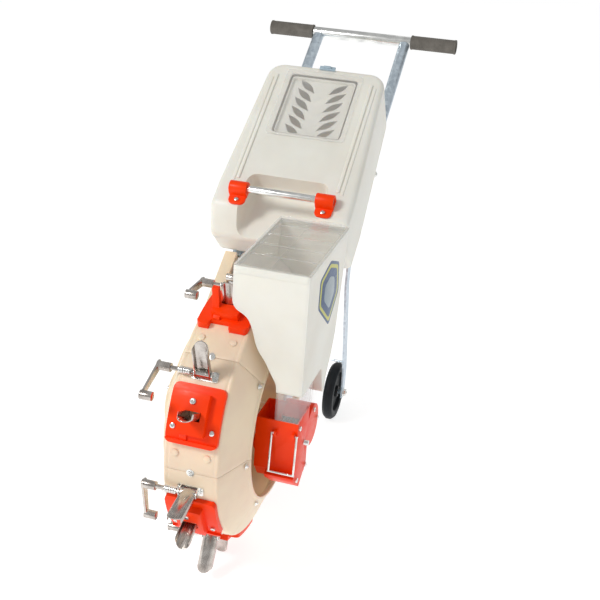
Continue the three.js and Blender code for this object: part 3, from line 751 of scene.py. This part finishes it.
def hex_bolt(name: str, radius: float, at: Point, washer: float = 1.6) -> bpy.types.Object:
    """Makes a hexagon head on a washer, standing on Z.

    Args:
        name: the piece's name.
        radius: the head's radius over its corners, in millimetres.
        at: the middle of its seat, in millimetres.
        washer: the washer's radius over the head's.

    Returns:
        The piece.
    """
    head = cylinder(name, radius * MM, radius * 0.7 * MM, (0, 0, (1.2 + radius * 0.35) * MM),
                    Axis.Z, 6, radius * 0.08 * MM)
    ring = cylinder(f"{name}_washer", radius * washer * MM, 1.4 * MM, (0, 0, 0.7 * MM),
                    Axis.Z, 28, 0.3 * MM)
    tip = cylinder(f"{name}_tip", radius * 0.45 * MM, 2.2 * MM,
                   (0, 0, (1.9 + radius * 0.7) * MM), Axis.Z, 16, 0.4 * MM)
    bolt = merge(name, [head, ring, tip])
    place(bolt, Matrix.Translation(Vector(at) * MM))
    smooth(bolt)
    return bolt


def coil(name: str, radius: float, wire: float, start: float, end: float,
         turns: int) -> bpy.types.Object:
    """Winds a wire spring round X.

    Args:
        name: the piece's name.
        radius: the coil's middle radius, in millimetres.
        wire: the wire's radius.
        start: where the coil starts on X.
        end: where it ends.
        turns: how many times it goes round.

    Returns:
        The piece.
    """
    deselect()
    bpy.ops.mesh.primitive_circle_add(vertices=8, radius=wire * MM, fill_type="NGON",
                                      location=(start * MM, 0, radius * MM))
    piece = bpy.context.object
    piece.name = name
    settle(piece)
    apply(piece, "SCREW", axis="X", angle=math.tau * turns, screw_offset=(end - start) * MM,
          steps=16 * turns, render_steps=16 * turns)
    smooth(piece, 50)
    return piece


# ---- materials by slot, and the CAD's own pieces ----------------------------


class Finishes:
    """The materials, made once, by the record's slot names."""

    def __init__(self) -> None:
        """Builds every material."""
        named = (IVORY, ORANGE, LATCH, BLACK, STAINLESS, BRIGHT, ZINC, GRIP, WHEEL, CLEAR)
        self.by_slot = {finish.name: finish.make() for finish in named}
        self.drum_ivory = DRUM_IVORY.make()

    def of(self, slot: str) -> bpy.types.Material:
        """Returns the material of a slot."""
        return self.by_slot[slot]


BODY_OF = {
    node: body
    for body, nodes in frame["record"]["behaviour"]["bodies"].items()
    for node in nodes
}
SLOT_OF = {row["node"]: row["material_slot"] for row in frame["record"]["subparts"]}

OWN_CLASSES = ("drum_segment", "mouth_housing", "fertilizer_box", "seed_hopper", "strainer",
               "grip_")
ROUNDING = {
    "metering_case": 1.2 * MM,
    "feed_case": 3.0 * MM,
    "beak": 0.5 * MM,
    "jaw": 0.5 * MM,
}


@dataclass
class CarriedNodes:
    """CAD pieces kept in shape, with merged faces and rounded edges."""

    finishes: Finishes
    skip: tuple[str, ...] = ()
    rounding: float = 0.7 * MM

    def build(self) -> None:
        """Makes a softened likeness of every node that no other class makes."""
        for node, slot in SLOT_OF.items():
            if node.startswith(self.skip):
                continue
            kind = node.rsplit("_", 1)[0] if node[-1].isdigit() else node
            finish = self.finishes.of(slot)
            if kind in ("drum_hub", "feed_case"):
                finish = self.finishes.drum_ivory
            piece = clean_copy(node, f"{node}_moulded")
            round_off(piece, ROUNDING.get(kind, self.rounding))
            dress(piece, finish, BODY_OF[node], [node])
            LOG.info("softened %s", node)


# ---- the drum ---------------------------------------------------------------


@dataclass
class DrumShell:
    """The seven moulded segments, with nubs, seams, bolts and side lip."""

    finishes: Finishes
    half: float = 48.0
    rim: float = 150.0
    side: float = 80.0
    wall: float = 4.5
    seam: float = 0.05
    throat: float = 7.0
    throat_half: float = 22.0
    nub: float = 6.5
    nub_place: tuple[float, float] = (29.0, 17.5)
    stud_place: tuple[float, float] = (0.0764, 0.1625)
    stud_back: float = 3.4

    def section(self) -> list[tuple[float, float]]:
        """Returns the segment's section as (x, radius) points."""
        inner = TREAD_R - self.wall
        return rounded([
            (self.side - self.wall, self.rim), (self.side + 2.5, self.rim),
            (self.side + 2.5, self.rim + 5), (self.side - 2, self.rim + 7),
            (self.half + 1, TREAD_R), (self.half - 6, TREAD_R - 1), (self.half - 9, TREAD_R),
            (9 - self.half, TREAD_R), (6 - self.half, TREAD_R - 1), (-self.half - 1, TREAD_R),
            (2 - self.side, self.rim + 7), (-self.side - 2.5, self.rim + 5),
            (-self.side - 2.5, self.rim), (self.wall - self.side, self.rim),
            (2 - self.half, inner), (self.half - 2, inner),
        ], [0, 1, 1.5, 3, 9, 1.5, 1.5, 1.5, 1.5, 9, 3, 1.5, 1, 0, 4, 4], 4)

    def pattern(self) -> bpy.types.Object:
        """Turns one segment round the axle and fits its throat and nubs."""
        start = -math.radians(PITCH / 2 - self.seam)
        shell = flat("shell", [(x * MM, -radius * math.sin(start) * MM,
                                radius * math.cos(start) * MM) for x, radius in self.section()])
        spin_round(shell, 26, -2 * start)
        throat = TREAD_R * math.sin(math.radians(self.throat))
        opening = oblong((-self.throat_half, -throat), (self.throat_half, throat), 5)
        carve(shell, prism("throat", opening, self.rim, TREAD_R + 8, Axis.Z))
        round_off(shell, 0.9 * MM, 2, 60)
        parts = [shell]
        across, back = self.nub_place
        for x in (-across, across):
            nub = cylinder("nub", self.nub * MM, 5 * MM, (x * MM, 0, (TREAD_R + 0.6) * MM),
                           Axis.Z, 28, 2.0 * MM)
            place(nub, Matrix.Rotation(math.radians(back), 4, "X"))
            parts.append(nub)
        return merge("segment_pattern", parts)

    def build(self) -> None:
        """Makes the segments, their seam bolts and their side studs."""
        pattern = self.pattern()
        bolt = hex_bolt("bolt_pattern", 4.4, (0, 0, TREAD_R - 0.2))
        stud = hex_bolt("stud_pattern", 4.0, (0, 0, 0), 1.5)
        place(stud, Matrix.Rotation(math.pi / 2, 4, "Y"))
        place(stud, Matrix.Translation((self.stud_place[0], 0, self.stud_place[1])))
        for index in range(MOUTHS):
            name = f"drum_segment_{index + 1}"
            shell = copy_piece(pattern, f"{name}_moulded", mouth_frame(index))
            dress(shell, self.finishes.drum_ivory, "drum", [name])
            fittings = [
                copy_piece(bolt, "seam_bolt", mouth_frame(index, PITCH / 2)),
                copy_piece(stud, "rim_stud", mouth_frame(index, PITCH / 2 - self.stud_back)),
            ]
            dress(merge(f"seam_fittings_{index + 1}", fittings),
                  self.finishes.of("bright_steel"), "drum")
        remove(pattern, bolt, stud)


@dataclass
class MouthHousings:
    """The orange housings with rounded corners, their screws and the jaw brackets."""

    finishes: Finishes

    def housing(self, index: int) -> bpy.types.Object:
        """Makes one housing's pattern from its node, in the mouth's own frame."""
        piece = clean_copy(f"mouth_housing_{index + 1}", "housing_pattern")
        place(piece, mouth_frame(index).inverted())
        trim = oblong((-46.8, -51.6), (46.8, 51.6), 13, 7)
        carve(piece, prism("trim", trim, 200, 320, Axis.Z), "INTERSECT")
        round_off(piece, 1.9 * MM, 3, 30)
        return piece

    def fittings(self) -> bpy.types.Object:
        """Makes a mouth's three screws, in the mouth's frame."""
        top = TREAD_R + 9.2
        parts = [pan_screw("head", 4.6, (x, 0, top), turn) for x, turn in ((-35, 20), (35, 65))]
        for part in parts:
            place(part, Matrix.Rotation(math.radians(5.5), 4, "X"))
        boss = pan_screw("head", 5.2, (-3, 0, top + 12.6))
        place(boss, Matrix.Rotation(math.radians(-5.6), 4, "X"))
        return merge("fittings_pattern", parts + [boss])

    def bracket(self) -> bpy.types.Object:
        """Makes the steel bracket that holds a jaw's shaft, in the hinge's frame."""
        parts = [prism("bracket", oblong((-24, -9), (24, 9), 5), TREAD_R + 0.1, TREAD_R + 2,
                       Axis.Z)]
        for x in (-16.6, 14.6):
            ear = prism("ear", rounded([(-9, TREAD_R + 1), (9, TREAD_R + 1), (5.5, HINGE_R + 7),
                                        (-5.5, HINGE_R + 7)], [0, 0, 5, 5]), x, x + 2)
            carve(ear, cylinder("bore", 4.5 * MM, 30 * MM, (x * MM, 0, HINGE_R * MM)))
            round_off(ear, 0.3 * MM)
            parts.append(ear)
        for x in (-20.5, 20.5):
            parts.append(pan_screw("head", 2.6, (x, 0, TREAD_R + 2)))
        return merge("bracket_pattern", parts)

    def build(self) -> None:
        """Makes all housings, screws, brackets and springs."""
        plain, notched = self.housing(0), self.housing(1)
        screws, bracket = self.fittings(), self.bracket()
        spring = coil("spring_pattern", 6.4, 1.0, -44, -22, 7)
        place(spring, Matrix.Translation((0, 0, HINGE_R * MM)))
        steel = self.finishes.of("bright_steel")
        for index in range(MOUTHS):
            node = f"mouth_housing_{index + 1}"
            piece = copy_piece(notched if index == 1 else plain, f"{node}_moulded",
                               mouth_frame(index))
            dress(piece, self.finishes.of("orange_plastic"), "drum", [node])
            if index != 1:
                dress(copy_piece(screws, f"housing_screws_{index + 1}", mouth_frame(index)),
                      steel, "drum")
            for pattern, name in ((bracket, "jaw_bracket"), (spring, "jaw_spring")):
                dress(copy_piece(pattern, f"{name}_{index + 1}", mouth_frame(index, HINGE_AHEAD)),
                      steel, "drum")
        remove(plain, notched, screws, bracket, spring)


# ---- the fertilizer box, hopper and fittings --------------------------------


@dataclass
class FertilizerBox:
    """The big rounded box with its hand pocket, window opening, ridges and sieve."""

    finishes: Finishes
    length: float = 388.0
    half: float = 142.0
    wall: float = 3.0
    corner: float = 34.0
    slope: tuple[float, float] = (0.8121, 0.5835)
    pocket_half: float = 84.0
    pocket_depth: float = 52.0
    slot_rows: float = 34.0
    slot_first: float = 214.0
    slot_pitch: float = 25.0
    slot_lean: float = 38.0
    slot_squash: float = 0.72

    def hull(self, inset: float, rounding: float) -> bpy.types.Object:
        """Makes the box's body, in the box's own frame.

        Args:
            inset: how far inside the outer surface, in millimetres.
            rounding: the edges' rounding, in millimetres.

        Returns:
            The body.
        """
        cos, sin = self.slope
        piece = block("box_hull", ((inset - self.half) * MM, -80 * MM, -165 * MM),
                      ((self.half - inset) * MM, (self.length - inset) * MM, -inset * MM))
        cuts = [
            ((0, 0, 0), (0, -cos, sin)),
            ((0, -39.7, -55.2), (0, -0.973, -0.2297)),
            ((0, -20.8, -135.3), (0, -0.0111, -0.9999)),
            ((self.half, 60, 0), (0.9989, 0.0476, 0)),
            ((-self.half, 60, 0), (-0.9989, 0.0476, 0)),
        ]
        for at, normal in cuts:
            slice_off(piece, (Vector(at) - inset * Vector(normal)) * MM, normal)
        with editing(piece):
            select_where("EDGE", lambda edge: middle(edge).y > 0.37
                         and abs((edge.verts[0].co - edge.verts[1].co).normalized().z) > 0.9)
            bpy.ops.mesh.bevel(offset=(self.corner - inset) * MM, segments=8, affect="EDGES")
        round_off(piece, rounding * MM, 5, 30)
        return piece

    def pocket(self, grow: float) -> bpy.types.Object:
        """Makes the cutter of the hand pocket, grown by some millimetres."""
        side = self.pocket_half + grow
        cutter = block("pocket", (-side * MM, -110 * MM, -(self.pocket_depth + grow) * MM),
                       (side * MM, side * MM, 40 * MM))
        round_off(cutter, 20 * MM, 6)
        return cutter

    def ridges(self) -> bpy.types.Object:
        """Makes the two raised ridges on each side of the window."""
        parts = []
        for side in (-1, 1):
            for x, low, high, rise in ((103, 66, 352, 3.2), (112, 60, 344, 1.8)):
                ridge = block("ridge", ((side * x - 3.6) * MM, low * MM, -2 * MM),
                              ((side * x + 3.6) * MM, high * MM, rise * MM))
                round_off(ridge, 2.2 * MM, 4)
                parts.append(ridge)
        return merge("box_ridges", parts)

    def sieve(self) -> bpy.types.Object:
        """Makes the sieve under the window, with two leaning rows of leaf slots."""
        outline = oblong((-69, 200), (69, 356), 8)
        floor = prism("strainer_moulded", outline, -14, -11.5, Axis.Z)
        leaf = rounded([(0, -31), (10, 0), (0, 31), (-10, 0)], [0, 20, 0, 20], 5)
        for side in (-1, 1):
            lean = math.radians(self.slot_lean * side)
            cos, sin = math.cos(lean), math.sin(lean)
            for step in range(6):
                x = side * self.slot_rows
                y = self.slot_first + self.slot_pitch * step
                slot = [(x + a * cos + b * sin, y - a * sin + b * cos * self.slot_squash)
                        for a, b in leaf]
                carve(floor, prism("slot", slot, -30, 0, Axis.Z))
        rim = prism("sieve_rim", outline, -32, -3.6, Axis.Z)
        carve(rim, prism("inside", oblong((-67, 202), (67, 354), 6), -60, 30, Axis.Z))
        round_off(rim, 0.5 * MM)
        round_off(floor, 0.5 * MM, 2, 50)
        return merge("strainer_moulded", [floor, rim])

    def build(self) -> None:
        """Builds the box, its ridges and its sieve in place."""
        shell = self.hull(0.0, 12)
        carve(shell, self.pocket(0))
        hollow = self.hull(self.wall, 9)
        carve(hollow, self.pocket(self.wall))
        carve(shell, hollow)
        carve(shell, prism("window", oblong((-73, 196), (73, 360), 10), -30, 30, Axis.Z))
        round_off(shell, 3.5 * MM, 4, 42)
        ridges, sieve = self.ridges(), self.sieve()
        for piece in (shell, ridges, sieve):
            place(piece, BOX_FRAME)
        ivory = self.finishes.of("ivory_plastic")
        dress(shell, ivory, "frame", ["fertilizer_box"])
        shell.name = "fertilizer_box_moulded"
        dress(ridges, ivory, "frame")
        dress(sieve, ivory, "frame", ["strainer"])


@dataclass
class SeedHopper:
    """The tall seed hopper: rounded walls, S-shaped inner side, collar and decal."""

    finishes: Finishes
    wall: float = 2.6
    outer: float = 153.0
    decal_middle: tuple[float, float] = (38.0, 255.0)
    decal_step: float = 0.9

    def walls(self) -> bpy.types.Object:
        """Moulds the hopper's walls, open above, in the axle's frame."""
        front = [(20, 366), (20, 268), (27, 257), (49, 246), (59, 222), (67, 190), (84, 168),
                 (95, 146), (106, 128), (106, -30), (153, -30), (153, 366)]
        side = [(-105, 366), (-105, 109), (24, 109), (44, 48), (54, 42), (65, 74), (93, 106),
                (112, 142), (123, 190), (140, 260), (155, 318), (155, 366)]
        piece = prism("hopper_walls", rounded(front, [0, 7, 7, 14, 16, 16, 12, 12, 9, 0, 0, 0]),
                      -105, 160, Axis.Y)
        profile = rounded(side, [0, 9, 10, 5, 5, 10, 12, 14, 20, 30, 12, 0])
        carve(piece, prism("side", profile, 10, 160), "INTERSECT")
        round_off(piece, 6 * MM, 4, 40)
        slice_off(piece, (0, 0, 0.3375), (0, 0, 1))
        with editing(piece):
            select_where("FACE", lambda face: face.normal.z > 0.99
                         and face.calc_center_median().z > 0.33)
            bpy.ops.mesh.delete(type="ONLY_FACE")
        apply(piece, "SOLIDIFY", thickness=self.wall * MM, offset=-1.0)
        carve(piece, prism("outlet", oblong((110, -98), (148, -20), 4), 100, 120, Axis.Z))
        smooth(piece, 40)
        return piece

    def collar(self) -> bpy.types.Object:
        """Makes the band round the hopper's mouth."""
        band = prism("hopper_collar", oblong((18.6, -106.4), (154.4, 156.4), 8), 324, 337.4,
                     Axis.Z)
        carve(band, prism("inside", oblong((21, -104), (152, 154), 7), 300, 350, Axis.Z))
        round_off(band, 0.8 * MM, 3)
        return band

    def decal(self) -> None:
        """Sticks a plain patterned decal on the hopper's right side."""
        shape = [(-34, 304), (34, 317), (98, 292), (111, 230), (50, 184), (-36, 250)]
        y0, z0 = self.decal_middle
        blue, yellow, grey = DECAL_BLUE.make(), DECAL_YELLOW.make(), DECAL_GREY.make()
        for name, share, finish in (("rim", 1.0, blue), ("field", 0.9, yellow),
                                    ("heart", 0.78, blue), ("band", 0.5, grey)):
            outline = [(y0 + (y - y0) * share, z0 + (z - z0) * share) for y, z in shape]
            top = self.outer + 0.05 + self.decal_step * (1.05 - share)
            patch = prism(f"decal_{name}", rounded(outline, 9), self.outer - 0.1, top)
            round_off(patch, 0.05 * MM)
            place(patch, AXLE_FRAME)
            dress(patch, finish, "frame")

    def build(self) -> None:
        """Builds the hopper, its collar and decal."""
        ivory = self.finishes.of("ivory_plastic")
        walls, collar = self.walls(), self.collar()
        for piece in (walls, collar):
            place(piece, AXLE_FRAME)
        dress(walls, ivory, "frame", ["seed_hopper"])
        dress(collar, ivory, "frame")
        self.decal()


def extent(node: str) -> tuple[Vector, Vector, Vector]:
    """Returns a CAD node's lowest corner, highest corner and middle."""
    low, high = (Vector(corner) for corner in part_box(node))
    return low, high, (low + high) / 2


@dataclass
class Fittings:
    """Grips, nuts, washers and screws of the frame and the cases."""

    finishes: Finishes
    grip_bore: float = 0.0127
    grip_ribs: int = 22
    nut_x: float = 0.0922

    def grips(self) -> None:
        """Turns the two foam grips with their ribs and end rolls."""
        for side in ("left", "right"):
            low, high, centre = extent(f"grip_{side}")
            outer, length = (high.z - low.z) / 2, high.x - low.x
            outline = [(-length / 2, self.grip_bore), (-length / 2, outer - 0.0012)]
            for step in range(self.grip_ribs):
                x = -length / 2 + length * (step + 0.5) / self.grip_ribs
                swell = 0.0 if step in (0, self.grip_ribs - 1) else -0.0007
                outline += [(x - 0.0015, outer + swell), (x + 0.0015, outer + swell),
                            (x + 0.0021, outer + swell - 0.0004)]
            outline += [(length / 2, outer - 0.0012), (length / 2, self.grip_bore)]
            ring = [(x, 0.0, radius) for x, radius in outline]
            grip = flat(f"grip_{side}_moulded", ring, "NOTHING")
            spin_round(grip, 40, math.tau)
            smooth(grip, 50)
            place(grip, Matrix.Translation(centre))
            dress(grip, self.finishes.of("grip_foam"), "frame", [f"grip_{side}"])

    def nut(self, name: str, body: str, bolt: bpy.types.Object, sign: int, spot: Point) -> None:
        """Turns a bolt head outwards along X and puts it in place.

        Args:
            name: the piece's name.
            body: the body it rides on.
            bolt: the head, standing on Z.
            sign: -1 to face left, 1 to face right.
            spot: the middle of its seat.
        """
        place(bolt, Matrix.Rotation(sign * math.pi / 2, 4, "Y"))
        place(bolt, Matrix.Translation(spot))
        bolt.name = name
        dress(bolt, self.finishes.of("bright_steel"), body)

    def nut_row(self) -> None:
        """Puts nuts on the press wheels' axles and on the arms' pivot."""
        for side, sign in (("left", -1), ("right", 1)):
            wheel = extent(f"press_wheel_{side}")[2]
            self.nut(f"wheel_nut_{side}", f"press_arm_{side}", hex_bolt("nut", 9.0, (0, 0, 0), 1.35),
                     sign, (sign * self.nut_x, wheel.y, wheel.z))
            low, high, rod = extent("pivot_rod")
            self.nut(f"pivot_cap_{side}", "frame", hex_bolt("cap", 6.5, (0, 0, 0), 1.5),
                     sign, (high.x if sign > 0 else low.x, rod.y, rod.z))

    def screws(self) -> None:
        """Screws down the saddles, the metering case and the feed case."""
        steel = self.finishes.of("bright_steel")
        pattern = pan_screw("screw_pattern", 4.6, (0, 0, 0))
        spots = [BOX_FRAME @ Matrix.Translation((x * MM, 0.0115, 0.0051)) for x in (-88, 88)]
        to_right = Matrix.Rotation(math.pi / 2, 4, "Y")
        for y, z in ((-94, 44), (-94, -64), (-38, -64), (0, 32), (30, 0)):
            spots.append(AXLE_FRAME @ Matrix.Translation((0.15, y * MM, z * MM)) @ to_right)
        to_left = Matrix.Rotation(-math.pi / 2, 4, "Y")
        ring = 0.052
        for step in range(6):
            angle = math.radians(60 * step + 15)
            spot = (-0.122, ring * math.cos(angle), ring * math.sin(angle))
            spots.append(AXLE_FRAME @ Matrix.Translation(spot) @ to_left)
        heads = [copy_piece(pattern, "screw_head", spot) for spot in spots]
        remove(pattern)
        dress(merge("case_screws", heads), steel, "frame")

    def build(self) -> None:
        """Builds all fittings."""
        self.grips()
        self.nut_row()
        self.screws()


# ---- stage ------------------------------------------------------------------


@dataclass
class Studio:
    """The camera, the pale floor and soft lights."""

    eye: Point = (0.5281, -1.8254, 1.2566)
    turn: float = 14.98
    tilt: float = 23.95
    roll: float = -3.9
    lens: float = 59.95

    def camera(self) -> None:
        """Makes the camera and sets it as the scene's."""
        turn, tilt, roll = map(math.radians, (self.turn, self.tilt, self.roll))
        ahead = Vector((-math.sin(turn) * math.cos(tilt), math.cos(turn) * math.cos(tilt),
                        -math.sin(tilt)))
        right = Vector((math.cos(turn), math.sin(turn), 0.0))
        up = right.cross(ahead)
        across = math.cos(roll) * right - math.sin(roll) * up
        upright = math.sin(roll) * right + math.cos(roll) * up
        data = bpy.data.cameras.new("camera")
        data.lens = self.lens
        data.clip_end = 50.0
        camera = bpy.data.objects.new("camera", data)
        bpy.context.collection.objects.link(camera)
        matrix = Matrix((across, upright, -ahead)).transposed().to_4x4()
        matrix.translation = self.eye
        camera.matrix_world = matrix
        bpy.context.scene.camera = camera

    def light(self, name: str, at: Point, size: float, power: float,
              colour: Point = (1, 1, 1)) -> None:
        """Hangs a soft light that faces the seeder.

        Args:
            name: the light's name.
            at: its place.
            size: its width.
            power: its power in watts.
            colour: its colour.
        """
        data = bpy.data.lights.new(name, "AREA")
        data.shape = "DISK"
        data.size = size
        data.energy = power
        data.color = colour
        lamp = bpy.data.objects.new(name, data)
        bpy.context.collection.objects.link(lamp)
        lamp.location = at
        aim = Vector((0, 0, 0.45)) - Vector(at)
        lamp.rotation_euler = aim.to_track_quat("-Z", "Y").to_euler()

    def floor(self) -> None:
        """Lays the pale floor and sets the white surroundings."""
        deselect()
        bpy.ops.mesh.primitive_plane_add(size=40, location=(0, 0, -0.0008))
        floor = bpy.context.object
        floor.name = "studio_floor"
        nodes = Nodes("studio_floor")
        nodes.feed("Base Color", nodes.ramp(nodes.noise(0.6), (0.5,) * 3, (0.52,) * 3))
        nodes.set(Roughness=0.9, Specular_IOR_Level=0.1, Emission_Color=(1, 1, 1, 1),
                  Emission_Strength=0.76)
        floor.data.materials.append(nodes.material)
        world = bpy.data.worlds.new("studio")
        bpy.context.scene.world = world
        world.use_nodes = True
        sky = world.node_tree.nodes["Background"]
        sky.inputs["Color"].default_value = (1.0, 1.0, 1.0, 1)
        sky.inputs["Strength"].default_value = 0.46

    def build(self) -> None:
        """Makes the floor and the lights."""
        self.floor()
        self.light("key_light", (-2.0, -2.7, 3.1), size=1.1, power=84, colour=(1.0, 0.985, 0.96))
        self.light("fill_light", (3.0, -1.8, 1.6), size=2.2, power=3, colour=(0.97, 0.98, 1.0))
        self.light("back_light", (0.6, 3.0, 2.6), size=2.0, power=8)
        bpy.context.scene.view_settings.view_transform = "Standard"


def main() -> None:
    """Builds the seeder's looks in order."""
    studio = Studio()
    studio.camera()
    finishes = Finishes()
    CarriedNodes(finishes, OWN_CLASSES).build()
    for part in (DrumShell, MouthHousings, FertilizerBox, SeedHopper, Fittings):
        part(finishes).build()
        LOG.info("built %s", part.__name__)
    studio.build()


if __name__ == "__main__":
    logging.basicConfig(level=logging.INFO, format="%(message)s")
    main()
